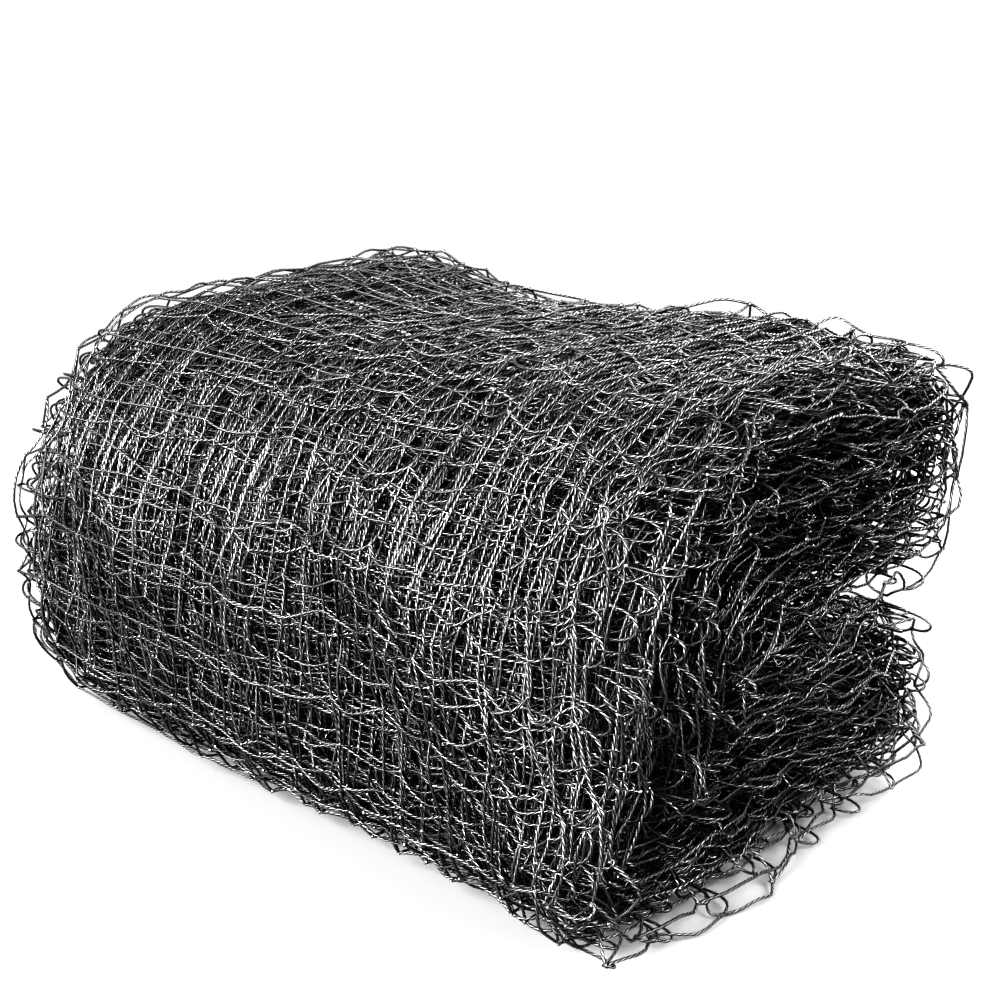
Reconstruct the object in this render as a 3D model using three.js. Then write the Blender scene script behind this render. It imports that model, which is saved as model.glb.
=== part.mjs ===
// A cat safety net, folded away: knotted square mesh of twisted twine in one piece.
// The net is wound flat into a pad, and the pad is doubled over along its length.
// Millimetres, +Z up, floor at Z = 0. X runs along the bundle. The bend of the doubled pad is the
// front, at -Y, and its two rounded lobes meet in a crease at the back, at +Y.
import * as THREE from "three";

// Outline of the bundle
const LENGTH = 304;
const DEPTH = 186;
const HEIGHT = 151;
const TOP_RADIUS = 74; // rounding of the front's upper edge
const FOOT_RADIUS = 28; // rounding of the front's lower edge
const LOWER_SETBACK = 13; // how far the lower lobe stays behind the upper one
const CREASE_HEIGHT = 71; // height of the crease between the lobes
const CREASE_TIP_Y = -16; // where the crease ends inside the bundle
const CREASE_HALF_GAP = 2;

// The doubled pad, measured from its middle line
const HALF_PAD = 39; // half of its thickness, where the turn sizes below hold
const LOBE_SHARE = 0.09; // part of the pad's run that each rounded lobe takes up

// Turns of the wound net, from the outside in. An open turn shows its mesh, and a
// dense one stands for many turns of net pressed together.
const TURNS = [
  { radius: 37.5, thickness: 3, open: true },
  { radius: 31.3, thickness: 3, open: true },
  { radius: 21.4, thickness: 10.6, open: false },
  { radius: 7.7, thickness: 10.6, open: false },
];
const JOG_FROM = 0.95; // share of a turn after which it steps in to the next one

// The net, its mesh drawn at twice the real pitch so that its gaps stay few
const MESH_SIDE = 25;
const CUT_PITCH = 2 * MESH_SIDE;
const BAR_WIDTH = 4;
const KNOT_RISE = 1; // how far a knot stands proud of its twine
const TWINE_BOW = 1.3; // how far a slack twine leaves the turn between two knots
const GAP_STEPS = 2; // straight steps across a gap
const DENSE_STEP = 40; // longest straight step of a dense turn
const STEP_ANGLE = THREE.MathUtils.degToRad(36); // most that one step may bend

// The two ends of the bundle
const LEFT_END = -LENGTH / 2;
const LEAN = { reach: 9, from: 20, to: 110 }; // how far the upper lobe reaches past the foot
const RIGHT_END = LENGTH / 2 - LEAN.reach;
const LEFT_DOME = { from: 62, size: 0.62, centre: 0.38 * HEIGHT };
const RIGHT_DOME = { from: 100, size: 0.94, centre: 0 };
const DOME_POWER = 2.3;
const INNER_RECESS = 3; // how much shorter each turn is than the one outside it
const RAGGED = { swing: 6, waves: 5 }; // how unevenly the turns end, and how often in a turn

// Swellings of the bundle: where along X, over what spread, and how far they raise the top,
// push out the front and push out the foot of the front
const SWELLS = [
  { along: -58, spread: 46, rise: 9, bulge: 1, foot: -6 },
  { along: 14, spread: 34, rise: -5, bulge: 3, foot: 0 },
  { along: 92, spread: 40, rise: 2, bulge: 0, foot: 3 },
  { along: 145, spread: 40, rise: 0, bulge: 0, foot: 9 },
];
const FOOT_HEIGHT = 60;
// Waves of the wound net: wave length along X and along Z, swing and starting phase
const WAVES = [
  { lengthX: 118, lengthZ: 150, swing: 2.2, phase: 0.4 },
  { lengthX: 71, lengthZ: 96, swing: 1.4, phase: 2.1 },
];

const TWINE_BLACK = 0x1b1c1e;

const { clamp, lerp, smoothstep } = THREE.MathUtils;

// Outer guide of the doubled pad: over the top, down the front and back along the floor.
function outerGuide() {
  const back = DEPTH / 2;
  const front = -DEPTH / 2;
  const shape = new THREE.Path();
  shape.moveTo(back, HEIGHT);
  shape.lineTo(front + TOP_RADIUS, HEIGHT);
  shape.absarc(front + TOP_RADIUS, HEIGHT - TOP_RADIUS, TOP_RADIUS, Math.PI / 2, Math.PI, false);
  shape.lineTo(front, FOOT_RADIUS);
  shape.absarc(front + FOOT_RADIUS, FOOT_RADIUS, FOOT_RADIUS, Math.PI, 1.5 * Math.PI, false);
  shape.lineTo(back - LOWER_SETBACK, 0);
  return shape;
}

const OUTER = outerGuide();

// A point of the doubled pad: run goes from the upper lobe (0) round the front to the lower lobe (1),
// and depth from the crease (-1) to the outside (1). The point is (y, z).
function padPoint(run, depth) {
  const outer = OUTER.getPointAt(clamp(run, 0, 1));
  const crease = new THREE.Vector2(Math.max(outer.x, CREASE_TIP_Y), CREASE_HEIGHT);
  const inward = outer.clone().sub(crease).setLength(CREASE_HALF_GAP);
  return crease.add(inward).lerp(outer, (1 + depth) / 2);
}

// The stretches of one turn, in the order in which the net runs, each ending at a share of the turn.
const CREASE_OUT_END = 0.12;
const UPPER_LOBE_END = 0.27;
const OUTSIDE_END = 0.73;
const LOWER_LOBE_END = 0.88;
const FOLD_RUN = 0.5;

// Centre radius and thickness of the net after so many turns, stepping in at the end of each turn.
function turnSize(turns) {
  const index = Math.min(Math.floor(turns), TURNS.length - 1);
  const here = TURNS[index];
  const next = TURNS[index + 1] ?? here;
  const step = smoothstep(turns - index, JOG_FROM, 1);
  return {
    radius: lerp(here.radius, next.radius, step),
    thickness: lerp(here.thickness, next.thickness, step),
  };
}

// A point (y, z) of the wound net in the middle of the bundle: side is -1 and 1 on its two faces.
function woundPoint(turns, side, lift = 0) {
  const { radius, thickness } = turnSize(turns);
  const reach = (radius + side * (thickness / 2 + lift)) / HALF_PAD;
  const share = turns - Math.floor(turns);
  const along = (from, to) => (share - from) / (to - from);
  if (share < CREASE_OUT_END) {
    return padPoint(lerp(FOLD_RUN, LOBE_SHARE, along(0, CREASE_OUT_END)), -reach);
  }
  if (share < UPPER_LOBE_END) {
    const angle = Math.PI * along(CREASE_OUT_END, UPPER_LOBE_END);
    return padPoint(LOBE_SHARE * (1 - reach * Math.sin(angle)), -reach * Math.cos(angle));
  }
  if (share < OUTSIDE_END) {
    return padPoint(lerp(LOBE_SHARE, 1 - LOBE_SHARE, along(UPPER_LOBE_END, OUTSIDE_END)), reach);
  }
  if (share < LOWER_LOBE_END) {
    const angle = Math.PI * along(OUTSIDE_END, LOWER_LOBE_END);
    return padPoint(1 - LOBE_SHARE * (1 - reach * Math.sin(angle)), reach * Math.cos(angle));
  }
  return padPoint(lerp(1 - LOBE_SHARE, FOLD_RUN, along(LOWER_LOBE_END, 1)), -reach);
}

// The wound net's middle line, finely sampled: turns made, length run and angle turned so far.
function middleLine() {
  const SAMPLES_A_TURN = 360;
  const line = [];
  let previous = null;
  let heading = null;
  let length = 0;
  let angle = 0;
  for (let i = 0; i < TURNS.length * SAMPLES_A_TURN; i += 1) {
    const turns = i / SAMPLES_A_TURN;
    const point = woundPoint(turns, 0);
    if (previous) {
      const step = point.clone().sub(previous);
      length += step.length();
      if (heading !== null) angle += Math.abs(Math.sin((step.angle() - heading) / 2)) * 2;
      heading = step.angle();
    }
    previous = point;
    line.push({ turns, length, angle });
  }
  return line;
}

// Rows of the net, across the winding. Each begins where the row before it ends. A bar row is solid
// from end to end, a gap row is solid only at its bars, and a knot edge is an edge of a bar row.
function netRows() {
  const line = middleLine();
  const rows = [];
  const lastOpen = TURNS.filter((turn) => turn.open).length;
  const addRow = (sample, bar, knotEdge) => rows.push({ turns: sample.turns, bar, knotEdge });
  const after = (from, length) => {
    const found = line.findIndex((s) => s.length >= line[from].length + length);
    return found < 0 ? line.length - 1 : found;
  };
  let at = 0;
  while (line[at].turns < lastOpen) {
    addRow(line[at], true, true);
    const gapFrom = after(at, BAR_WIDTH);
    const gapTo = after(at, CUT_PITCH);
    const bend = line[gapTo].angle - line[gapFrom].angle;
    const steps = Math.max(GAP_STEPS, Math.ceil(bend / STEP_ANGLE));
    for (let k = 0; k < steps; k += 1) {
      addRow(line[Math.round(lerp(gapFrom, gapTo, k / steps))], false, k === 0);
    }
    at = gapTo;
  }
  while (at < line.length - 1) {
    addRow(line[at], true, false);
    const from = line[at];
    const next = line.findIndex(
      (s) => s.length >= from.length + DENSE_STEP || s.angle >= from.angle + STEP_ANGLE,
    );
    at = next < 0 ? line.length - 1 : next;
  }
  addRow(line[at], true, false);
  return rows;
}

// Columns of the net, along X as shares of the bundle's length, in the same way.
function netColumns() {
  const pitches = Math.round((RIGHT_END - LEFT_END) / CUT_PITCH);
  const barShare = BAR_WIDTH / (pitches * CUT_PITCH + BAR_WIDTH);
  const pitchShare = (1 - barShare) / pitches;
  const columns = [];
  for (let p = 0; p < pitches; p += 1) {
    const start = p * pitchShare;
    columns.push({ along: start, bar: true, knotEdge: true });
    for (let k = 0; k < GAP_STEPS; k += 1) {
      const along = lerp(start + barShare, start + pitchShare, k / GAP_STEPS);
      columns.push({ along, bar: false, knotEdge: k === 0 });
    }
  }
  columns.push({ along: 1 - barShare, bar: true, knotEdge: true });
  columns.push({ along: 1, bar: true, knotEdge: true });
  return columns;
}

// How much the section has drawn in at x towards either end, and about which height.
function endDome(x) {
  const dome = x < 0 ? LEFT_DOME : RIGHT_DOME;
  const end = x < 0 ? -LEFT_END : RIGHT_END + LEAN.reach;
  const t = clamp((Math.abs(x) - dome.from) / (end - dome.from), 0, 1);
  const size = lerp(dome.size, 1, (1 - t ** DOME_POWER) ** (1 / DOME_POWER));
  return { size, centre: dome.centre };
}

// Lays a section point at x: draws in the ends, then swells and waves the bundle over its flat foot.
function placed(x, section) {
  const { size, centre } = endDome(x);
  const y = section.x * size;
  const z = centre + (section.y - centre) * size;
  const height = clamp(z / HEIGHT, 0, 1);
  const forward = clamp(0.5 - y / DEPTH, 0, 1);
  let rise = 0;
  let bulge = 0;
  for (const swell of SWELLS) {
    const near = Math.exp(-(((x - swell.along) / swell.spread) ** 2));
    rise += swell.rise * near * height;
    bulge += swell.bulge * near * forward * Math.sin(Math.PI * height);
    bulge += swell.foot * near * forward * (1 - smoothstep(z, 0, FOOT_HEIGHT));
  }
  for (const wave of WAVES) {
    const turn = 2 * Math.PI * (x / wave.lengthX + z / wave.lengthZ) + wave.phase;
    rise += 0.6 * wave.swing * height * Math.cos(turn);
    bulge += wave.swing * Math.sin(Math.PI * height) * Math.sin(turn);
  }
  return new THREE.Vector3(x, y - bulge, Math.max(0, z + rise));
}

// A corner of the net: where a row's edge meets a column's edge, on one face.
function netCorner(row, column, rowIndex, columnIndex, side) {
  const open = TURNS[Math.min(Math.floor(row.turns), TURNS.length - 1)].open;
  const knot = row.knotEdge && column.knotEdge;
  const slack = Math.sin(2.4 * rowIndex + 4.1 * columnIndex);
  let lift = 0;
  if (open && knot) lift = KNOT_RISE;
  if (open && !knot) lift = side * TWINE_BOW * slack;
  const section = woundPoint(row.turns, side, lift);
  const lean = LEAN.reach * smoothstep(section.y, LEAN.from, LEAN.to);
  const ragged = RAGGED.swing * (1 + Math.sin(2 * Math.PI * RAGGED.waves * row.turns));
  const shorter = INNER_RECESS * row.turns + (open ? 0 : ragged);
  const left = LEFT_END + shorter;
  const right = RIGHT_END + lean - shorter;
  return placed(lerp(left, right, column.along), section);
}

// The whole net as one closed surface: two faces, and walls round the rim and round each gap.
function netGeometry() {
  const rows = netRows();
  const columns = netColumns();
  const positions = [];
  const triangles = [];
  rows.forEach((row, i) =>
    columns.forEach((column, j) => {
      positions.push(...netCorner(row, column, i, j, 1), ...netCorner(row, column, i, j, -1));
    }),
  );
  const corner = (i, j, face) => 2 * (i * columns.length + j) + face;
  const isSolid = (i, j) =>
    i >= 0 && j >= 0 && i < rows.length - 1 && j < columns.length - 1 && (rows[i].bar || columns[j].bar);
  const quad = (a, b, c, d) => triangles.push(a, b, c, a, c, d);
  const wall = (i0, j0, i1, j1) =>
    quad(corner(i0, j0, 0), corner(i1, j1, 0), corner(i1, j1, 1), corner(i0, j0, 1));
  for (let i = 0; i < rows.length - 1; i += 1) {
    for (let j = 0; j < columns.length - 1; j += 1) {
      if (!isSolid(i, j)) continue;
      quad(corner(i, j, 0), corner(i + 1, j, 0), corner(i + 1, j + 1, 0), corner(i, j + 1, 0));
      quad(corner(i, j, 1), corner(i, j + 1, 1), corner(i + 1, j + 1, 1), corner(i + 1, j, 1));
      if (!isSolid(i - 1, j)) wall(i, j, i, j + 1);
      if (!isSolid(i + 1, j)) wall(i + 1, j + 1, i + 1, j);
      if (!isSolid(i, j - 1)) wall(i + 1, j, i, j);
      if (!isSolid(i, j + 1)) wall(i, j + 1, i + 1, j + 1);
    }
  }
  const geometry = new THREE.BufferGeometry();
  geometry.setAttribute("position", new THREE.Float32BufferAttribute(positions, 3));
  geometry.setIndex(triangles);
  return geometry.toNonIndexed();
}

// Stands a geometry on the floor with the middle of its outline over the origin.
function centredOnFloor(geometry) {
  geometry.computeBoundingBox();
  const middle = geometry.boundingBox.getCenter(new THREE.Vector3());
  geometry.translate(-middle.x, -middle.y, -geometry.boundingBox.min.z);
  geometry.computeVertexNormals();
  return geometry;
}

const twine = new THREE.MeshStandardMaterial({ color: TWINE_BLACK, roughness: 0.45, metalness: 0 });
const net = new THREE.Mesh(centredOnFloor(netGeometry()), twine);
net.name = "net";

const bundle = new THREE.Group();
bundle.add(net);

export default bundle;
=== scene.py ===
"""A folded cat safety net: knotted black twine, wound flat into a pad and the pad doubled over.

The net is one square-mesh panel. Its width is folded to and fro into plies along the bundle, and its
length is wound round a flat pad whose section is bent over at the front and creased at the back. Hoop
twine runs round the bundle, and cross twine runs along it. Lengths are in millimetres up to net_piece.
"""

import math
from collections import namedtuple

import bmesh
import bpy
import numpy as np
from mathutils import Matrix, Vector


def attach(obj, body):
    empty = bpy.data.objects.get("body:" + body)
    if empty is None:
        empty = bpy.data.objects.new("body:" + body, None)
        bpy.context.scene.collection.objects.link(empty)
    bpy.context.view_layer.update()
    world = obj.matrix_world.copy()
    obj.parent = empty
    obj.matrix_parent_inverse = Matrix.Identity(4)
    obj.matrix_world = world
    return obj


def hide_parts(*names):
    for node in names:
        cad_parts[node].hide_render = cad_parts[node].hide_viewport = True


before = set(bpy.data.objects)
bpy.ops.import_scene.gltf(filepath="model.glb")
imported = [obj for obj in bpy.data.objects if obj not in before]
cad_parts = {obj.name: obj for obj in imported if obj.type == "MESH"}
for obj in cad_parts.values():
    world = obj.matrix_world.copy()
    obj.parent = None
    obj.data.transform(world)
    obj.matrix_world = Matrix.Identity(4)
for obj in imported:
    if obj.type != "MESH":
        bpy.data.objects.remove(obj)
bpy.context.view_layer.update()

MM = 0.001

# Outside of the bundle, close to that of the frame's solid
LENGTH = 304
DEPTH = 186
HEIGHT = 151
TOP_RADIUS = 74  # rounding of the front's upper edge
FOOT_RADIUS = 28  # rounding of the front's lower edge
LOWER_SETBACK = 5  # how far the lower lobe stays behind the upper one
ARC_STEPS = 60

# Crease between the two lobes, whose nets press into each other
CREASE_HEIGHT = 71
CREASE_TIP_Y = -16
CREASE_HALF_GAP = -3
CREASE_BLUNTNESS = 0.45
HALF_PAD = 39
LOBE_SHARE = 0.035

# Shares by which the outer turns are pressed together, all round and under the bundle's weight,
# and the shares of the pad's run between which the one goes over to the other
TURN_PRESS = 0.25
FOOT_PRESS = 0.6
FOOT_PRESS_RUN = (0.56, 0.66)

# The closed end on the left and the open end on the right, which stays back a little: where each begins
# to draw in, to what size and about which height
RIGHT_SETBACK = 4
LEFT_END = -LENGTH / 2
RIGHT_END = LENGTH / 2 - RIGHT_SETBACK
LEFT_DOME = {"from": 70, "size": 0.2, "centre": 0.20 * HEIGHT, "end": LENGTH / 2}
RIGHT_DOME = {"from": 100, "size": 0.94, "centre": 0, "end": LENGTH / 2}
DOME_POWER = 3.0

# Swellings: where along X, over what spread, and how far they raise the top, push out the front and
# push out the foot of the front
SWELLS = [
    {"along": -84, "spread": 40, "rise": 13, "bulge": 1, "foot": -4},
    {"along": 2, "spread": 30, "rise": -5.5, "bulge": 3, "foot": 0},
    {"along": 60, "spread": 34, "rise": 3.5, "bulge": 0, "foot": 0},
    {"along": 92, "spread": 40, "rise": 0, "bulge": 0, "foot": 3},
    {"along": 145, "spread": 40, "rise": -2, "bulge": 0, "foot": 12},
]
FOOT_HEIGHT = 60
# Waves: length along X and along Z, swing and starting phase, and the share of the swing that lifts the top
WAVES = [
    {"length_x": 118, "length_z": 150, "swing": 2.2, "phase": 0.4},
    {"length_x": 71, "length_z": 96, "swing": 1.4, "phase": 2.1},
]
WAVE_RISE = 0.6

# Shares of one turn at which its stretches end, and the share of the pad's run at which it is bent over
CREASE_OUT_END = 0.12
UPPER_LOBE_END = 0.27
OUTSIDE_END = 0.73
LOWER_LOBE_END = 0.88
FOLD_RUN = 0.5

# The panel: knots along the winding, knots across its width, and how taut it lies either way
MESH_SIDE = 25.0
TWINE_RADIUS = 0.435
PANEL_ROWS = 140
PANEL_COLUMNS = 118
PANEL_SHAPE = (PANEL_ROWS, PANEL_COLUMNS)
HOOP_TAUTNESS = 0.965
CROSS_TAUTNESS = 0.93

# The winding: radii of its outermost and innermost ply, plies in a turn's thickness, and its search
OUTER_RADIUS = 39.7
INNER_RADIUS = 6.0
TURN_PLIES = 9.0
MOST_TURNS = 6
FIRST_GUESS_TURNS = 4.0
WINDING_STEPS = 3000
WINDING_ROUNDS = 12

# The folds: where they lie at the closed end and at the open end, and how ragged they are
MOST_PLIES = 12
LEFT_INSET = 7.0
LEFT_SPREAD = 14.0
OPEN_INSET = 4.0
OPEN_SPREAD = 20.0
FOLD_STEP = 0.618  # share of the spread from one fold to the next
END_DRAW = 1.5  # how much shorter each turn is than the one outside it
RAGGED = 1.5
SLOW_RAGGED = 3.0
# Shares of a mesh between a fold and the knot before it
OPEN_NIP = (0.1, 0.5)
CLOSED_NIP = 0.08
# How far the open end is crumpled back, and over what length
CRUMPLE = 14.0
CRUMPLE_REACH = 34.0

# Shift of the open end along the outer turn: out of line at its front edge and its loose flap
END_TURNS = (0.08, 0.16, 0.28, 0.34, 0.42, 0.48, 0.52, 0.60, 0.70, 0.78, 0.88)
END_SHIFTS = (0, -8, -8, -6, -18, -26, -10, -6, -1, -1, 0)
FOLD_SHIFT_LOSS = 0.3  # share of the shift that each further fold loses
SHIFT_POWER = 4
SHIFT_LIMIT = 1.1
# The flap on the floor: shares of a turn over which it begins and ends, and how far the net on it stays back
FLAP_BEGINS = (0.47, 0.55)
FLAP_ENDS = (0.68, 0.78)
FLAP_SETBACK = 5.0

# Tumbling of the open end: waves that its layers share, and looseness of each knot
TUMBLE = 4.5
TUMBLE_FROM = 105.0
TUMBLE_WAVES = 9
TUMBLE_LENGTHS = (35, 75)
TUMBLE_HEIGHT = 40  # height from which knots are free to move up and down
END_LOOSENESS = 1.6
END_LOOSE_FROM = 112.0

# Unevenness of the knots: slow along the panel, and from knot to knot
UNEVEN_ROUND = (2.0, 0.4)
UNEVEN_ALONG = (0.8, 0.3)
UNEVEN_INWARD = (1.4, 1.1)
# Passes that even out a drift: patches of net, rows, stretches of a turn and the whole winding
PATCH_PASSES = (6, 4)
ROW_PASSES = 3
STRETCH_PASSES = 25
WINDING_PASSES = 300

# Slip of each ply round the bundle, in meshes: the step from ply to ply, its share and its drift
PLY_STEP_ROUND = 0.382
PLY_SLIP = 0.5
PLY_SLIP_DRIFT = 0.12

# The free edge at the closed end: lift off the bundle and reach past its end, by column from the edge,
# and the turns over which they fade
EDGE_LIFT = 8.0
EDGE_LIFT_UNEVEN = (0.7, 0.5)  # mean and spread
EDGE_LIFT_COLUMNS = np.array([1.0, 0.6, 0.2])
EDGE_LIFT_FADES = (0.5, 0.6)
EDGE_REACH = 10.0
EDGE_REACH_COLUMNS = np.array([1.0, 0.8, 0.6, 0.4, 0.2])
EDGE_REACH_FADES = (0.6, 0.72)
# How far the inner plies are drawn in at the closed end, from which ply in full, and over which stretch
CLOSED_DRAW = 6.0
CLOSED_DRAW_PLY = 2
CLOSED_DRAW_X = (80, 140)

# Settling of the knots: the most that a mesh side is drawn out, rounds, and pull back to the first place
MESH_SPREAD = 1.03
SETTLE_ROUNDS = 60
SETTLE_RETURN = 0.02

# Slack twine between two knots: bow for its spare length, mean and spread of the main bow, and its turn
BOW_REACH = 0.43
MAIN_BOW = (0.9, 0.5)
BOW_TURN = 1.2
LEAST_SLACK = 0.3
HOOP_WAVINESS = 0.4
CROSS_WAVINESS = 0.5
CURVE_STEPS = 12
FEWEST_THINNED = 3  # from so many steps on a side, points are gathered where the twine bends
# Loop of cross twine round a fold
LOOP_REACH = 1.34
LOOP_WIDTH = 9

# Lean of hoop twine: outwards, downwards and at random, and along the bundle on the flap
HOOP_OUT = 0.2
HOOP_DOWN = 0.15
HOOP_RANDOM = 0.6
FLAP_LEAN = 2
FLAP_X = (RIGHT_END - 30, RIGHT_END - 10)
FLAP_Z = (6, 14)
FLOOR_BAND = 12  # height below which hoop twine leans up
# Slack of hoop twine at the open end and on the flap, and tautness elsewhere, less with height
OPEN_SLACK = 40
OPEN_SLACK_X = (RIGHT_END - 40, RIGHT_END - 10)
FLAP_SLACK = 90
HOOP_HOLD = 0.65
HOOP_HOLD_LOSS = 0.3
HOOP_HOLD_Z = (10, 40)
# Lean of cross twine: outwards and downwards above the floor, inwards near it, and at random
CROSS_OUT = 0.2
CROSS_DOWN = 0.8
CROSS_IN = 0.8
CROSS_LIFTED_Z = (4, 35)
CROSS_RANDOM = 0.4
CROSS_FREEDOM = 0.65
CROSS_FREE_X = (RIGHT_END - 45, RIGHT_END - 15)

# Scale of a twine's radius by its corners, so that a coarse twine is as wide as a round one
CORNER_SCALE = {5: 1.0, 4: 1.08, 3: 1.18}
LOWEST_TWINE = TWINE_RADIUS * CORNER_SCALE[3]
BEAD_LENGTH = 2.1  # length of twine over which one yarn gives way to the next
CROWN_PLACE = (0.5, 0)  # place on the twist where a yarn stands highest
STEEP = 0.8

# A knot in twine radii: two crossing rings, each turned and set aside, or a plain lump on coarse twine
KNOT_RINGS = ((-24, -0.35), (62, 0.35))
KNOT_RING_RADIUS = 1.0
KNOT_TWINE_RADIUS = 0.62
KNOT_CORNERS = 4
KNOT_STEPS = 6
LUMP_SIZE = 1.8
KNOT_SIZES = (1.0, 1.3)  # least and most
KNOT_TWIST = 0.22
MERGE_DISTANCE = 1e-4
FINE_CORNERS = 5  # corners from which twine has fine knots

# Steps of the twine on each mesh side, round the bundle and along it, and its corners, by turn
FACE_DETAIL = (7, 10, 5)
ZONE_DETAIL = {
    "open_end": [(6, 9, 4), (4, 8, 3), (4, 7, 3), (4, 7, 3), (4, 7, 3)],
    "closed_end": [(6, 9, 3), (4, 7, 3), (2, 4, 3), (2, 4, 3), (2, 4, 3)],
    "middle": [(5, 6, 3), (2, 4, 3), (1, 2, 3), (1, 2, 3), (1, 2, 3)],
}
OPEN_END_FROM = 85.0
CLOSED_END_TO = -105.0
FIRST_PLY_COLUMNS = 20  # columns among which the first fold is looked for

# Twine: yarns laid together, colour of their crowns and painted shade as the colour of the grooves between
# them, and gloss
YARNS = 3
YARN_COLOUR = (0.005, 0.0051, 0.0048, 1)
# Painted shade: the dull darker black drawn in the grooves between the yarns
GROOVE_SHADE_COLOUR = (0.002, 0.002, 0.0022, 1)
YARN_SPECULAR = 0.8
YARN_ROUGHNESS = (0.22, 0.2)  # least, and what the patchy part adds
CROWN_SHARPNESS = 6.0
GROOVE_FLOOR = 0.0001  # keeps the slope of a groove's root finite
TWIST_DEPTH = 0.0004
FIBRE_SHARE = 0.25
PATCH_SCALE = 60.0
FIBRE_SCALE = 2600.0

# Camera in metres, at the height and turn of the photograph
VIEW_AZIMUTH = math.radians(40.68)
VIEW_ELEVATION = math.radians(16.39)
VIEW_DISTANCE = 0.518
VIEW_HEIGHT = 0.0689
VIEW_RIGHT = 0.0212
VIEW_UP = 0.0159
LENS = 54
SENSOR_WIDTH = 36
CLIP_START = 0.01

# Stage in metres, degrees and watts
FLOOR_HALF_SIZE = 0.6
FLOOR_COLOUR = (0.062, 0.062, 0.062, 1)
FLOOR_ROUGHNESS = 0.7
WORLD_COLOUR = (1, 1, 1, 1)
WORLD_STRENGTH = 0.62
LIGHT_AIM = (0, 0, 0.07)
LIGHTS = [
    {"name": "key", "azimuth": 0, "elevation": 29, "distance": 2.4, "size": 1.5, "power": 770},
    {"name": "fill", "azimuth": 98, "elevation": 36, "distance": 1.6, "size": 0.9, "power": 165},
    {"name": "rear", "azimuth": 178, "elevation": 24, "distance": 2.0, "size": 1.2, "power": 95},
    {"name": "side", "azimuth": -48, "elevation": 26, "distance": 1.9, "size": 0.8, "power": 75},
    {"name": "bounce", "azimuth": -6, "elevation": 3, "distance": 1.6, "size": 0.9, "power": 60},
]

ALONG = np.array([1.0, 0.0, 0.0])
DOWN = np.array([0.0, 0.0, -1.0])
TINY = 1e-9
SEED = 7

rng = np.random.default_rng(SEED)

# The laid net: places and outward directions of its knots, turns made at each row, and the place along
# the bundle of the fold after each knot, or nan where there is none
Panel = namedtuple("Panel", "places outward row_turns folds")


def smooth(value, low, high):
    """0 below low, 1 above high, and an even slope between."""
    t = np.clip((value - low) / (high - low), 0, 1)
    return t * t * (3 - 2 * t)


def unit(vectors):
    """The same directions with a length of one."""
    return vectors / np.maximum(np.linalg.norm(vectors, axis=-1, keepdims=True), TINY)


def drift(shape, *passes):
    """An uneven field of unit spread, evened out along each axis by so many passes."""
    field = rng.standard_normal(shape)
    for axis, count in enumerate(passes):
        last = shape[axis] - 1
        before = np.maximum(np.arange(shape[axis]) - 1, 0)
        after = np.minimum(np.arange(shape[axis]) + 1, last)
        for _ in range(count):
            field = (field.take(before, axis) + 2 * field + field.take(after, axis)) / 4
    return field / field.std()


def guide_line():
    """The outside of the doubled pad in section: share of its run, y and z."""
    back = DEPTH / 2
    front = -DEPTH / 2
    upper = np.linspace(math.pi / 2, math.pi, ARC_STEPS)
    lower = np.linspace(math.pi, 1.5 * math.pi, ARC_STEPS)
    top_y = front + TOP_RADIUS * (1 + np.cos(upper))
    foot_y = front + FOOT_RADIUS * (1 + np.cos(lower))
    y = np.concatenate([[back], top_y, foot_y, [back - LOWER_SETBACK]])
    top_z = HEIGHT - TOP_RADIUS * (1 - np.sin(upper))
    foot_z = FOOT_RADIUS * (1 + np.sin(lower))
    z = np.concatenate([[HEIGHT], top_z, foot_z, [0]])
    run = np.concatenate([[0], np.cumsum(np.hypot(np.diff(y), np.diff(z)))])
    return run / run[-1], y, z


GUIDE_RUN, GUIDE_Y, GUIDE_Z = guide_line()


def pad_point(run, depth):
    """A point of the doubled pad in section, from the crease (depth -1) to the outside (depth 1)."""
    y = np.interp(run, GUIDE_RUN, GUIDE_Y)
    z = np.interp(run, GUIDE_RUN, GUIDE_Z)
    crease_y = np.maximum(y, CREASE_TIP_Y)
    away = np.hypot(y - crease_y, z - CREASE_HEIGHT)
    inner_y = crease_y + (y - crease_y) / away * CREASE_HALF_GAP
    inner_z = CREASE_HEIGHT + (z - CREASE_HEIGHT) / away * CREASE_HALF_GAP
    t = (1 + depth) / 2
    pressed = TURN_PRESS + (FOOT_PRESS - TURN_PRESS) * smooth(run, *FOOT_PRESS_RUN)
    t = 1 - (1 - t) * (1 - pressed * t)
    return inner_y + (y - inner_y) * t, inner_z + (z - inner_z) * t


def wound_point(turns, radius):
    """A point of the wound net in section, after so many turns and so far from the pad's middle line."""
    share = np.mod(turns, 1)
    reach = radius / HALF_PAD
    upper = np.clip((share - CREASE_OUT_END) / (UPPER_LOBE_END - CREASE_OUT_END), 0, 1)
    lower = np.clip((share - OUTSIDE_END) / (LOWER_LOBE_END - OUTSIDE_END), 0, 1)
    stops = [0, CREASE_OUT_END, UPPER_LOBE_END, OUTSIDE_END, LOWER_LOBE_END, 1]
    runs = [FOLD_RUN, LOBE_SHARE, LOBE_SHARE, 1 - LOBE_SHARE, 1 - LOBE_SHARE, FOLD_RUN]
    run = np.interp(share, stops, runs)
    depth = -reach * np.cos(math.pi * upper) * np.cos(math.pi * lower)
    bluntness = np.where(depth < 0, CREASE_BLUNTNESS, 1)
    round_out = np.clip(np.sin(math.pi * upper), 0, 1) ** bluntness
    round_in = np.clip(np.sin(math.pi * lower), 0, 1) ** bluntness
    run = run - LOBE_SHARE * reach * (round_out - round_in)
    return pad_point(run, depth)


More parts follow.
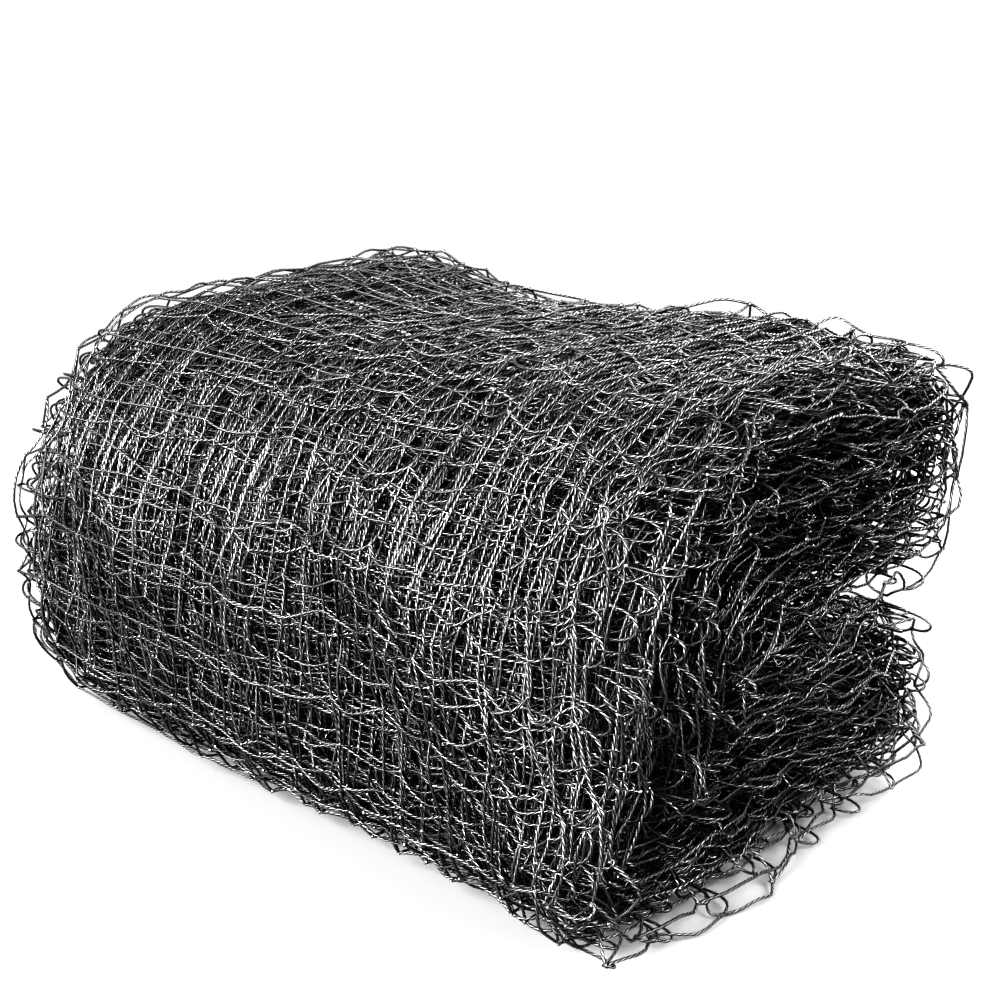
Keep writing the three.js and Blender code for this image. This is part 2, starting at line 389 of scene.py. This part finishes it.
def laid(x, turns, radius):
    """The place of a point of the wound net: ends drawn in, then swollen and waved over its flat foot."""
    y, z = wound_point(turns, radius)
    size = np.ones_like(x)
    centre = np.zeros_like(x)
    for sign, dome in ((-1, LEFT_DOME), (1, RIGHT_DOME)):
        t = np.clip((sign * x - dome["from"]) / (dome["end"] - dome["from"]), 0, 1)
        drawn = dome["size"] + (1 - dome["size"]) * (1 - t**DOME_POWER) ** (1 / DOME_POWER)
        size = np.where(sign * x > 0, drawn, size)
        centre = np.where(sign * x > 0, dome["centre"], centre)
    y = y * size
    z = centre + (z - centre) * size
    height = np.clip(z / HEIGHT, 0, 1)
    forward = np.clip(0.5 - y / DEPTH, 0, 1)
    middle = np.sin(math.pi * height)
    rise = np.zeros_like(x)
    bulge = np.zeros_like(x)
    for swell in SWELLS:
        near = np.exp(-(((x - swell["along"]) / swell["spread"]) ** 2))
        rise = rise + swell["rise"] * near * height * (1 - forward)
        bulge = bulge + swell["bulge"] * near * forward * middle
        bulge = bulge + swell["foot"] * near * forward * (1 - smooth(z, 0, FOOT_HEIGHT))
    for wave in WAVES:
        turn = 2 * math.pi * (x / wave["length_x"] + z / wave["length_z"]) + wave["phase"]
        rise = rise + WAVE_RISE * wave["swing"] * height * np.cos(turn)
        bulge = bulge + wave["swing"] * middle * np.sin(turn)
    return np.stack([x, y - bulge, z + rise], axis=-1)


def winding():
    """The outer ply along the winding: turns made, length run and the turns that the panel takes up."""
    turns = np.linspace(0, MOST_TURNS, WINDING_STEPS)
    wanted = PANEL_ROWS * MESH_SIDE * HOOP_TAUTNESS + 2 * MESH_SIDE
    last_turn = FIRST_GUESS_TURNS
    for _ in range(WINDING_ROUNDS):
        radius = OUTER_RADIUS - (OUTER_RADIUS - INNER_RADIUS) * turns / last_turn
        y, z = wound_point(turns, radius)
        length = np.concatenate([[0], np.cumsum(np.hypot(np.diff(y), np.diff(z)))])
        last_turn = float(np.interp(wanted, length, turns))
    return turns, length, last_turn


def crumpled(x):
    """Draws back what lies near the open end."""
    end = RIGHT_END + CRUMPLE
    return x - CRUMPLE * np.exp((x - end) / CRUMPLE_REACH)


def folded(row_turns):
    """The zigzag of the panel's width: each knot's place along the bundle, its ply and its next fold."""
    row = (PANEL_ROWS,)
    columns = np.arange(PANEL_COLUMNS)
    x = np.zeros(PANEL_SHAPE)
    ply = np.zeros(PANEL_SHAPE, int)
    fold = np.zeros(PANEL_SHAPE)
    place = LEFT_END + LEFT_INSET + RAGGED * drift(row, 1)
    begun = 0.0
    for k in range(MOST_PLIES):
        uneven = FOLD_STEP * (k // 2) % 1
        ragged = RAGGED * drift(row, 1) + SLOW_RAGGED * drift(row, WINDING_PASSES) - END_DRAW * row_turns
        if k % 2 == 0:
            goal = RIGHT_END + CRUMPLE - OPEN_INSET - OPEN_SPREAD * uneven + ragged
            past_knot = OPEN_NIP[0] + (OPEN_NIP[1] - OPEN_NIP[0]) * (2 * uneven % 1)
        else:
            goal = LEFT_END + LEFT_INSET + LEFT_SPREAD * uneven - ragged
            past_knot = CLOSED_NIP
        # Each ply has the whole number of meshes that comes nearest, and is drawn out or slackened to fit
        meshes = np.mean(np.abs(goal - place)) / (MESH_SIDE * CROSS_TAUTNESS)
        ended = round(begun + meshes - past_knot) + past_knot
        here = columns >= begun
        along = place[:, None] + (columns - begun) * ((goal - place) / (ended - begun))[:, None]
        x = np.where(here, along, x)
        ply = np.where(here, k, ply)
        fold = np.where(here, goal[:, None], fold)
        place = goal
        begun = ended
    return crumpled(x), ply, crumpled(fold)


def shifted(x, ply, row_turns):
    """Draws in the open end's front edge, and all but its outermost fold over the flap on the floor."""
    shift = np.interp(row_turns, END_TURNS, END_SHIFTS)
    loose = np.clip(1 - FOLD_SHIFT_LOSS * (ply // 2), 0, 1)
    turned = np.mod(row_turns, 1)
    flap = smooth(turned, *FLAP_BEGINS) * (1 - smooth(turned, *FLAP_ENDS))
    covered = (ply > 1) | (row_turns[:, None] > 1)
    share = np.clip((x - LEFT_END) / (RIGHT_END - LEFT_END), 0, SHIFT_LIMIT)
    return x + (shift[:, None] * loose - FLAP_SETBACK * flap[:, None] * covered) * share**SHIFT_POWER


def slipped(ply, side):
    """How far each knot's ply is out of step with the outer one, round the bundle."""
    plies = np.arange(ply.max() + 1)
    slips = PLY_SLIP * (np.mod(PLY_STEP_ROUND * plies, 1) - 0.5)
    slips = side * (slips + PLY_SLIP_DRIFT * drift((PANEL_ROWS, len(plies)), WINDING_PASSES, 0))
    return np.take_along_axis(slips, ply, axis=1)


def tumbled(places):
    """Pushes the open end about, most at its very end, in waves that all its layers share."""
    moved = places.copy()
    amount = TUMBLE * smooth(places[..., 0], TUMBLE_FROM, RIGHT_END) / math.sqrt(TUMBLE_WAVES / 2)
    for _ in range(TUMBLE_WAVES):
        way = rng.standard_normal(3)
        way = way / np.linalg.norm(way)
        wave = rng.standard_normal(3)
        wave = wave / np.linalg.norm(wave) * 2 * math.pi / rng.uniform(*TUMBLE_LENGTHS)
        swing = amount * np.sin(places @ wave + rng.uniform(0, 2 * math.pi))
        moved = moved + swing[..., None] * way
    loose = END_LOOSENESS * smooth(places[..., :1], END_LOOSE_FROM, RIGHT_END)
    moved = moved + loose * rng.standard_normal(places.shape)
    level = smooth(places[..., 2], 0, TUMBLE_HEIGHT)
    moved[..., 2] = places[..., 2] + (moved[..., 2] - places[..., 2]) * level
    return moved


def settled(places):
    """Draws knots together wherever a mesh side would be longer than its twine, above the floor."""
    wanted = places.copy()
    for _ in range(SETTLE_ROUNDS):
        for axis in (0, 1):
            ahead = np.diff(places, axis=axis)
            length = np.linalg.norm(ahead, axis=-1, keepdims=True)
            pull = ahead * np.maximum(0, 1 - MESH_SPREAD * MESH_SIDE / length)
            low = [slice(None)] * 3
            high = [slice(None)] * 3
            low[axis] = slice(None, -1)
            high[axis] = slice(1, None)
            places[tuple(low)] += 0.5 * pull
            places[tuple(high)] -= 0.5 * pull
        places += SETTLE_RETURN * (wanted - places)
        places[..., 2] = np.maximum(places[..., 2], 2 * TWINE_RADIUS)
    return places


def laid_panel():
    """The whole panel as it lies in the bundle, its knots row by row along the winding."""
    turns_run, length_run, last_turn = winding()
    side = MESH_SIDE * HOOP_TAUTNESS
    pitch = (OUTER_RADIUS - INNER_RADIUS) / last_turn
    row_start = MESH_SIDE + np.arange(PANEL_ROWS) * side
    row_turns = np.interp(row_start, length_run, turns_run)
    x, ply, fold = folded(row_turns)
    x = shifted(x, ply, row_turns)
    fold = shifted(fold, ply, row_turns)

    along = row_start[:, None] + slipped(ply, side)
    along = along + UNEVEN_ROUND[0] * drift(PANEL_SHAPE, STRETCH_PASSES, 0)
    along = along + UNEVEN_ROUND[1] * drift(PANEL_SHAPE)
    turns = np.interp(along, length_run, turns_run)

    radius = OUTER_RADIUS - pitch * turns - (pitch / TURN_PLIES) * ply
    radius = radius - UNEVEN_INWARD[0] * np.abs(drift(PANEL_SHAPE, *PATCH_PASSES))
    radius = radius - UNEVEN_INWARD[1] * np.abs(drift(PANEL_SHAPE))
    inner = np.clip(ply, 0, CLOSED_DRAW_PLY) / CLOSED_DRAW_PLY
    radius = radius - CLOSED_DRAW * smooth(-x, *CLOSED_DRAW_X) * inner
    lift = EDGE_LIFT * (1 - smooth(row_turns, *EDGE_LIFT_FADES))
    lift = lift * (EDGE_LIFT_UNEVEN[0] + EDGE_LIFT_UNEVEN[1] * drift((PANEL_ROWS,), ROW_PASSES))
    radius[:, :len(EDGE_LIFT_COLUMNS)] += lift[:, None] * EDGE_LIFT_COLUMNS

    x = x + UNEVEN_ALONG[0] * drift(PANEL_SHAPE, STRETCH_PASSES, 0)
    x = x + UNEVEN_ALONG[1] * drift(PANEL_SHAPE)
    places = laid(x, turns, radius)
    reach = EDGE_REACH * (1 - smooth(row_turns, *EDGE_REACH_FADES))
    places[:, :len(EDGE_REACH_COLUMNS), 0] -= reach[:, None] * EDGE_REACH_COLUMNS
    outward = unit(laid(x, turns, radius + 0.5) - laid(x, turns, radius - 0.5))
    folds = np.where(np.diff(ply, axis=1) > 0, fold[:, :-1], np.nan)
    return Panel(settled(tumbled(places)), outward, row_turns, folds)


def side_curves(starts, ends, leaning, waviness, least_slack, freedom):
    """Slack twine from knot to knot: points of each side, waved and bowed by its spare length."""
    chord = ends - starts
    length = np.linalg.norm(chord, axis=-1, keepdims=True)
    line = unit(chord)
    across = unit(leaning - line * np.sum(leaning * line, axis=-1, keepdims=True))
    aside = np.cross(line, across)
    bow = BOW_REACH * freedom * np.sqrt(np.maximum(MESH_SIDE**2 - length**2, least_slack))
    share = rng.standard_normal(length.shape[:-1] + (3,)) * np.array([MAIN_BOW[1], waviness, waviness])
    share = unit(share + np.array([MAIN_BOW[0], 0, 0]))
    turned = rng.uniform(-BOW_TURN, BOW_TURN, length.shape)
    second = across * np.cos(turned) + aside * np.sin(turned)
    t = (np.arange(CURVE_STEPS) / CURVE_STEPS)[:, None]
    points = starts[..., None, :] + chord[..., None, :] * t
    for k, way in ((1, across), (2, second), (3, aside)):
        reach = way * bow * share[..., k - 1:k] / k
        points = points + reach[..., None, :] * np.sin(k * math.pi * t)
    return points


def fold_curves(starts, ends, fold):
    """Twine that runs out to a fold, round it in an open loop and back to the next ply."""
    t = (np.arange(CURVE_STEPS) / CURVE_STEPS)[:, None]
    reach_out = ((fold - starts[..., 0]) * LOOP_REACH)[..., None] * ALONG
    reach_back = ((fold - ends[..., 0]) * LOOP_REACH)[..., None] * ALONG
    apart = ends - starts
    apart[..., 0] = 0
    width = np.linalg.norm(apart, axis=-1, keepdims=True)
    widen = unit(apart) * np.clip(LOOP_WIDTH - width, 0, LOOP_WIDTH) / 2
    out = starts + reach_out - widen
    back = ends + reach_back + widen
    points = starts[..., None, :] * (1 - t) ** 3 + ends[..., None, :] * t**3
    return points + 3 * t * (1 - t) * (out[..., None, :] * (1 - t) + back[..., None, :] * t)


def thinned(strand, count):
    """The same strand with fewer points, closest together where it bends most."""
    step = np.diff(strand, axis=0)
    length = np.linalg.norm(step, axis=-1)
    way = unit(step)
    bend = np.arccos(np.clip(np.sum(way[1:] * way[:-1], axis=-1), -1, 1))
    bend = np.concatenate([[0], bend]) + np.concatenate([bend, [0]])
    weight = np.concatenate([[0], np.cumsum(length / MESH_SIDE + bend)])
    wanted = np.linspace(0, weight[-1], count)
    return np.stack([np.interp(wanted, weight, strand[:, axis]) for axis in range(3)], axis=-1)


def joined(sides, knots, steps):
    """Whole strands from the curves of their sides, with so many steps to a side and above the floor."""
    count, knot_count, _ = knots.shape
    coarse = steps < FEWEST_THINNED
    if coarse:
        sides = sides[:, :, ::CURVE_STEPS // steps]
    run = np.concatenate([sides.reshape(count, -1, 3), knots[:, -1:]], axis=1)
    run[..., 2] = np.maximum(run[..., 2], LOWEST_TWINE)
    if coarse:
        return run
    return np.stack([thinned(strand, steps * (knot_count - 1) + 1) for strand in run])


def hoop_runs(panel, rows, columns, steps):
    """Twine round the bundle in a patch of net, one run for each column, up to the rows beyond it."""
    patch = (slice(rows[0], rows[1] + 1), slice(*columns))
    knots = panel.places[patch].transpose(1, 0, 2)
    outward = panel.outward[patch].transpose(1, 0, 2)[:, :-1]
    x = knots[:, :-1, :1]
    z = knots[:, :-1, 2:]
    lean = HOOP_OUT * outward + HOOP_DOWN * DOWN + HOOP_RANDOM * rng.standard_normal(outward.shape)
    flap = smooth(x, *FLAP_X) * (1 - smooth(z, *FLAP_Z))
    lean = lean + FLAP_LEAN * flap * ALONG
    lean[..., 2] = np.where(z[..., 0] < FLOOR_BAND, np.abs(lean[..., 2]), lean[..., 2])
    open_end = smooth(x, *OPEN_SLACK_X)
    slack = LEAST_SLACK + OPEN_SLACK * open_end + FLAP_SLACK * flap
    held = HOOP_HOLD - HOOP_HOLD_LOSS * smooth(z, *HOOP_HOLD_Z)
    freedom = 1 - held * (1 - open_end)
    sides = side_curves(knots[:, :-1], knots[:, 1:], lean, HOOP_WAVINESS, slack, freedom)
    return joined(sides, knots, steps)


def cross_runs(panel, rows, columns, steps):
    """Twine along the bundle in a patch of net, one run for each row, up to the column beyond it."""
    patch = (slice(*rows), slice(columns[0], columns[1] + 1))
    knots = panel.places[patch]
    outward = panel.outward[patch][:, :-1]
    lifted = smooth(knots[:, :-1, 2:], *CROSS_LIFTED_Z)
    lean = (CROSS_OUT * outward + CROSS_DOWN * DOWN) * lifted - CROSS_IN * outward * (1 - lifted)
    lean = lean + CROSS_RANDOM * rng.standard_normal(outward.shape)
    freedom = CROSS_FREEDOM + (1 - CROSS_FREEDOM) * smooth(knots[:, :-1, :1], *CROSS_FREE_X)
    sides = side_curves(knots[:, :-1], knots[:, 1:], lean, CROSS_WAVINESS, LEAST_SLACK, freedom)
    folds = panel.folds[slice(*rows), slice(*columns)][:, :knots.shape[1] - 1]
    loops = fold_curves(knots[:, :-1], knots[:, 1:], np.nan_to_num(folds))
    sides = np.where(np.isnan(folds)[..., None, None], sides, loops)
    return joined(sides, knots, steps)


def twine_frames(runs):
    """Directions across each run, carried along it without turning: two at each point."""
    tangent = unit(np.gradient(runs, axis=1))
    first = tangent[:, 0]
    helper = np.where(np.abs(first[:, 2:3]) < STEEP, [[0.0, 0.0, 1.0]], [[1.0, 0.0, 0.0]])
    normal = np.zeros_like(runs)
    normal[:, 0] = unit(np.cross(first, helper))
    for k in range(1, runs.shape[1]):
        carried = normal[:, k - 1]
        carried = carried - tangent[:, k] * np.sum(carried * tangent[:, k], axis=-1, keepdims=True)
        normal[:, k] = unit(carried)
    return normal, np.cross(tangent, normal)


def twine_tubes(runs, corners):
    """Twine along the runs: vertices, and faces with their places (beads along it, share round it)."""
    count, points, _ = runs.shape
    normal, binormal = twine_frames(runs)
    angle = np.arange(corners) * (2 * math.pi / corners)
    ring = np.cos(angle)[:, None] * normal[:, :, None] + np.sin(angle)[:, None] * binormal[:, :, None]
    radius = TWINE_RADIUS * CORNER_SCALE[corners]
    vertices = (runs[:, :, None] + radius * ring).reshape(-1, 3)
    index = np.arange(count * points * corners).reshape(count, points, corners)
    after = np.roll(index, -1, axis=2)
    walls = np.stack([index[:, :-1], after[:, :-1], after[:, 1:], index[:, 1:]], axis=-1).reshape(-1, 4)
    caps = np.concatenate([index[:, 0, ::-1], index[:, -1]], axis=0)

    step = np.linalg.norm(np.diff(runs, axis=1), axis=-1)
    beads = np.concatenate([np.zeros((count, 1)), np.cumsum(step, axis=1)], axis=1) / BEAD_LENGTH
    round_share = np.arange(corners + 1) / corners
    here = np.broadcast_to(beads[:, :-1, None], (count, points - 1, corners))
    ahead = np.broadcast_to(beads[:, 1:, None], here.shape)
    low = np.broadcast_to(round_share[:-1], here.shape)
    high = np.broadcast_to(round_share[1:], here.shape)
    wall_corners = ((here, low), (here, high), (ahead, high), (ahead, low))
    wall_places = np.stack([np.stack(corner, axis=-1) for corner in wall_corners], axis=-2).reshape(-1, 2)
    cap_places = np.tile(CROWN_PLACE, (caps.size, 1))
    return {"vertices": vertices, "faces": [(walls, wall_places), (caps, cap_places)]}


def rotation(axis, degrees):
    """A turn about one axis."""
    return Matrix.Rotation(math.radians(degrees), 3, axis)


def add_knot_ring(form, degrees, aside):
    """One ring of a knot, turned about the cross twine and set aside along it."""
    made_before = set(form.verts)
    circle = bmesh.ops.create_circle(form, segments=KNOT_CORNERS, radius=KNOT_TWINE_RADIUS)["verts"]
    bmesh.ops.rotate(form, verts=circle, matrix=rotation("X", 90))
    bmesh.ops.translate(form, verts=circle, vec=(KNOT_RING_RADIUS, 0, 0))
    edges = [edge for edge in form.edges if edge.verts[0] in circle]
    bmesh.ops.spin(
        form, geom=circle + edges, cent=(0, 0, 0), axis=(0, 0, 1),
        angle=2 * math.pi, steps=KNOT_STEPS, use_merge=True,
    )
    bmesh.ops.remove_doubles(form, verts=form.verts, dist=MERGE_DISTANCE)
    ring = [vertex for vertex in form.verts if vertex not in made_before]
    bmesh.ops.rotate(form, verts=ring, matrix=rotation("X", degrees))
    bmesh.ops.translate(form, verts=ring, vec=(aside, 0, 0))


def add_knot_lump(form):
    """A plain double pyramid."""
    bmesh.ops.create_cone(
        form, cap_ends=True, segments=KNOT_CORNERS, radius1=LUMP_SIZE, radius2=0, depth=LUMP_SIZE,
    )
    bmesh.ops.translate(form, verts=form.verts, vec=(0, 0, LUMP_SIZE / 2))
    base = [face for face in form.faces if len(face.verts) == KNOT_CORNERS]
    bmesh.ops.delete(form, geom=base, context="FACES_ONLY")
    half = form.verts[:] + form.edges[:] + form.faces[:]
    bmesh.ops.mirror(form, geom=half, axis="Z", merge_dist=MERGE_DISTANCE)


def knot_form(fine):
    """A knot at the origin, in twine radii: vertices and faces."""
    form = bmesh.new()
    if fine:
        for degrees, aside in KNOT_RINGS:
            add_knot_ring(form, degrees, aside)
    else:
        add_knot_lump(form)
    bmesh.ops.recalc_face_normals(form, faces=form.faces)
    form.verts.index_update()
    vertices = np.array([vertex.co for vertex in form.verts])
    faces = np.array([[vertex.index for vertex in face.verts] for face in form.faces])
    form.free()
    return vertices, faces


def knots_of(panel, rows, columns, fine):
    """The knots of a patch of net, turned to lie in it."""
    form, form_faces = knot_form(fine)
    patch = (slice(*rows), slice(*columns))
    spots = panel.places[patch].reshape(-1, 3)
    along = np.gradient(panel.places[slice(*rows)], axis=1)[:, slice(*columns)]
    x_axis = unit(along).reshape(-1, 3)
    y_axis = unit(np.cross(panel.outward[patch].reshape(-1, 3), x_axis))
    z_axis = np.cross(x_axis, y_axis)
    size = TWINE_RADIUS * rng.uniform(*KNOT_SIZES, (len(spots), 1, 1))
    body = form[None, :, 0:1] * x_axis[:, None] + form[None, :, 1:2] * y_axis[:, None]
    body = body + form[None, :, 2:3] * z_axis[:, None]
    vertices = (spots[:, None] + size * body).reshape(-1, 3)
    vertices[:, 2] = np.maximum(vertices[:, 2], 0)
    offset = np.arange(len(spots))[:, None, None] * len(form)
    faces = (form_faces[None] + offset).reshape(-1, form_faces.shape[1])
    # Painted shade on the knots too: their middles take the yarn's crown, their ends fall towards the dull
    # black of the grooves
    beads = np.tile(CROWN_PLACE[0] + KNOT_TWIST * form[form_faces.ravel(), 0], len(spots))
    places = np.stack([beads, np.zeros_like(beads)], axis=-1)
    return {"vertices": vertices, "faces": [(faces, places)]}


def net_patch(panel, rows, columns, detail):
    """A patch of the panel: its twine in both directions and its knots, up to the patches beside it."""
    hoop_steps, cross_steps, corners = detail
    runs = [hoop_runs(panel, rows, columns, hoop_steps)]
    if min(columns[1] + 1, PANEL_COLUMNS) - columns[0] > 1:
        runs.append(cross_runs(panel, rows, columns, cross_steps))
    parts = [twine_tubes(run, corners) for run in runs]
    return parts + [knots_of(panel, rows, columns, corners >= FINE_CORNERS)]


def net_piece(name, parts, material):
    """One object from several parts, each with its vertices and its faces' places on the twine."""
    vertices = np.concatenate([part["vertices"] for part in parts]) * MM
    starts = np.cumsum([0] + [len(part["vertices"]) for part in parts])
    corner_lists = []
    totals = []
    places = []
    for start, part in zip(starts, parts):
        for faces, face_places in part["faces"]:
            corner_lists.append((faces + start).ravel())
            totals.append(np.full(len(faces), faces.shape[1]))
            places.append(face_places)
    corners = np.concatenate(corner_lists)
    total = np.concatenate(totals)
    mesh = bpy.data.meshes.new(name)
    mesh.vertices.add(len(vertices))
    mesh.vertices.foreach_set("co", vertices.astype(np.float32).ravel())
    mesh.loops.add(len(corners))
    mesh.loops.foreach_set("vertex_index", corners.astype(np.int32))
    mesh.polygons.add(len(total))
    mesh.polygons.foreach_set("loop_start", (np.cumsum(total) - total).astype(np.int32))
    mesh.polygons.foreach_set("loop_total", total.astype(np.int32))
    mesh.polygons.foreach_set("use_smooth", np.ones(len(total), bool))
    layer = mesh.uv_layers.new(name="twine")
    layer.data.foreach_set("uv", np.concatenate(places).astype(np.float32).ravel())
    mesh.update(calc_edges=True)
    mesh.validate()
    mesh.materials.append(material)
    piece = bpy.data.objects.new(name, mesh)
    bpy.context.scene.collection.objects.link(piece)
    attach(piece, "root")
    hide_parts("net")


def column_runs(chosen):
    """Unbroken runs of the chosen columns: first, and one past the last."""
    edges = np.flatnonzero(np.diff(np.concatenate([[0], chosen.astype(int), [0]])))
    return list(zip(edges[::2], edges[1::2]))


def make_net():
    """The whole net, cut into pieces by turn and by place along the bundle only to keep each mesh small."""
    panel = laid_panel()
    twine = twine_finish("twine")
    turn_count = math.ceil(panel.row_turns[-1])
    turn_rows = [int(np.searchsorted(panel.row_turns, turn)) for turn in range(turn_count)] + [PANEL_ROWS]
    column_x = panel.places[..., 0].mean(axis=0)
    in_open_end = column_x > OPEN_END_FROM
    in_closed_end = column_x < CLOSED_END_TO
    zones = {"open_end": in_open_end, "closed_end": in_closed_end, "middle": ~(in_open_end | in_closed_end)}
    face = np.arange(PANEL_COLUMNS) <= np.argmax(column_x[:FIRST_PLY_COLUMNS])
    for turn in range(turn_count):
        rows = (turn_rows[turn], turn_rows[turn + 1])
        for zone, chosen in zones.items():
            if turn == 0:
                chosen = chosen & ~face
            parts = []
            for columns in column_runs(chosen):
                parts += net_patch(panel, rows, columns, ZONE_DETAIL[zone][turn])
            net_piece(f"net_turn_{turn + 1}_{zone}", parts, twine)
        if turn == 0:
            net_piece("net_face", net_patch(panel, rows, column_runs(face)[0], FACE_DETAIL), twine)


class Twig:
    """A shader socket that takes part in Python arithmetic."""

    def __init__(self, tree, socket):
        self.tree = tree
        self.socket = socket

    def _math(self, operation, *values):
        node = self.tree.nodes.new("ShaderNodeMath")
        node.operation = operation
        for slot, value in zip(node.inputs, values):
            if isinstance(value, Twig):
                self.tree.links.new(value.socket, slot)
            else:
                slot.default_value = value
        return Twig(self.tree, node.outputs[0])

    def __add__(self, other):
        return self._math("ADD", self, other)

    __radd__ = __add__

    def __sub__(self, other):
        return self._math("SUBTRACT", self, other)

    def __rsub__(self, other):
        return self._math("SUBTRACT", other, self)

    def __mul__(self, other):
        return self._math("MULTIPLY", self, other)

    __rmul__ = __mul__

    def __pow__(self, other):
        return self._math("POWER", self, other)

    def fraction(self):
        return self._math("FRACT", self)

    def root(self):
        return self._math("SQRT", self)


class Finish:
    """A material and the one way to add a node to it."""

    def __init__(self, name):
        self.material = bpy.data.materials.new(name)
        self.material.use_nodes = True
        self.tree = self.material.node_tree
        self.tree.nodes.clear()

    def node(self, kind, settings=None, out=(0,), numbered=None, **named):
        """Adds a node: its settings, which outputs to give back, and its sockets by number and by name."""
        made = self.tree.nodes.new(kind)
        for key, value in (settings or {}).items():
            setattr(made, key, value)
        sockets = dict(numbered or {})
        sockets.update({key.replace("_", " "): value for key, value in named.items()})
        for key, value in sockets.items():
            slot = made.inputs[key]
            if isinstance(value, Twig):
                self.tree.links.new(value.socket, slot)
            else:
                slot.default_value = value
        given = [Twig(self.tree, made.outputs[key]) for key in out if made.outputs]
        return given[0] if len(given) == 1 else given


def twine_finish(name):
    """Black twisted plastic-fibre twine: glossy on the crowns of its yarns, with painted shade of dull black
    in the grooves between them.
    """
    finish = Finish(name)
    place = finish.node("ShaderNodeUVMap", {"uv_map": "twine"})
    beads, around = finish.node("ShaderNodeSeparateXYZ", out=("X", "Y"), Vector=place)
    phase = (beads + around * YARNS).fraction()
    ridge = (1 - (phase * 2 - 1) ** 2 + GROOVE_FLOOR).root()
    object_place = finish.node("ShaderNodeTexCoord", out=("Object",))
    patchy = finish.node("ShaderNodeTexNoise", Vector=object_place, Scale=PATCH_SCALE, Detail=2.0)
    fibres = finish.node("ShaderNodeTexNoise", Vector=object_place, Scale=FIBRE_SCALE, Detail=1.0)
    relief = ridge + fibres * FIBRE_SHARE
    bump = finish.node("ShaderNodeBump", Height=relief, Distance=TWIST_DEPTH, Strength=1.0)
    yarn = finish.node(
        "ShaderNodeBsdfPrincipled", Base_Color=YARN_COLOUR, Specular_IOR_Level=YARN_SPECULAR,
        Roughness=YARN_ROUGHNESS[0] + patchy * YARN_ROUGHNESS[1], Normal=bump,
    )
    # Painted shade: towards each groove a dull darker black diffuse takes over from the glossy yarn,
    # standing in for the shade between the yarns
    groove_shade = finish.node("ShaderNodeBsdfDiffuse", Color=GROOVE_SHADE_COLOUR)
    shader = finish.node("ShaderNodeMixShader", numbered={1: groove_shade, 2: yarn}, Fac=ridge**CROWN_SHARPNESS)
    finish.node("ShaderNodeOutputMaterial", Surface=shader)
    return finish.material


def floor_finish(name):
    """The even finish of the floor."""
    finish = Finish(name)
    shader = finish.node("ShaderNodeBsdfPrincipled", Base_Color=FLOOR_COLOUR, Roughness=FLOOR_ROUGHNESS)
    finish.node("ShaderNodeOutputMaterial", Surface=shader)
    return finish.material


def direction(azimuth, elevation):
    """The unit vector from the bundle that way round from the front, and that far up."""
    return Vector((
        math.sin(azimuth) * math.cos(elevation),
        -math.cos(azimuth) * math.cos(elevation),
        math.sin(elevation),
    ))


def set_up(name, data, place, facing):
    """An object for a camera or a light, at its place and facing that way."""
    holder = bpy.data.objects.new(name, data)
    bpy.context.scene.collection.objects.link(holder)
    holder.location = place
    holder.rotation_mode = "QUATERNION"
    holder.rotation_quaternion = facing.to_track_quat("-Z", "Y")
    return holder


def make_camera():
    """The camera of the main view."""
    back = direction(VIEW_AZIMUTH, VIEW_ELEVATION)
    right = Vector((math.cos(VIEW_AZIMUTH), math.sin(VIEW_AZIMUTH), 0))
    target = Vector((0, 0, VIEW_HEIGHT)) + right * VIEW_RIGHT + back.cross(right) * VIEW_UP
    data = bpy.data.cameras.new("camera")
    data.lens = LENS
    data.sensor_width = SENSOR_WIDTH
    data.clip_start = CLIP_START
    bpy.context.scene.camera = set_up("camera", data, target + back * VIEW_DISTANCE, -back)


def make_light(name, azimuth, elevation, distance, size, power):
    """A square soft light that faces the bundle."""
    way = direction(math.radians(azimuth), math.radians(elevation))
    data = bpy.data.lights.new(name, "AREA")
    data.size = size
    data.energy = power
    set_up(name, data, Vector(LIGHT_AIM) + way * distance, -way)


def make_floor():
    """The surface that the bundle lies on, which the lights turn white in the picture."""
    form = bmesh.new()
    bmesh.ops.create_grid(form, x_segments=1, y_segments=1, size=FLOOR_HALF_SIZE)
    mesh = bpy.data.meshes.new("floor")
    form.to_mesh(mesh)
    form.free()
    floor = bpy.data.objects.new("floor", mesh)
    mesh.materials.append(floor_finish("floor_white"))
    bpy.context.scene.collection.objects.link(floor)


def make_studio():
    """White surroundings, the lights and the contrast of the picture."""
    world = bpy.data.worlds.new("studio")
    world.use_nodes = True
    background = world.node_tree.nodes["Background"]
    background.inputs["Color"].default_value = WORLD_COLOUR
    background.inputs["Strength"].default_value = WORLD_STRENGTH
    bpy.context.scene.world = world
    for light in LIGHTS:
        make_light(**light)
    bpy.context.scene.view_settings.view_transform = "Standard"
    bpy.context.scene.view_settings.look = "Very High Contrast"


make_camera()
make_floor()
make_studio()
make_net()
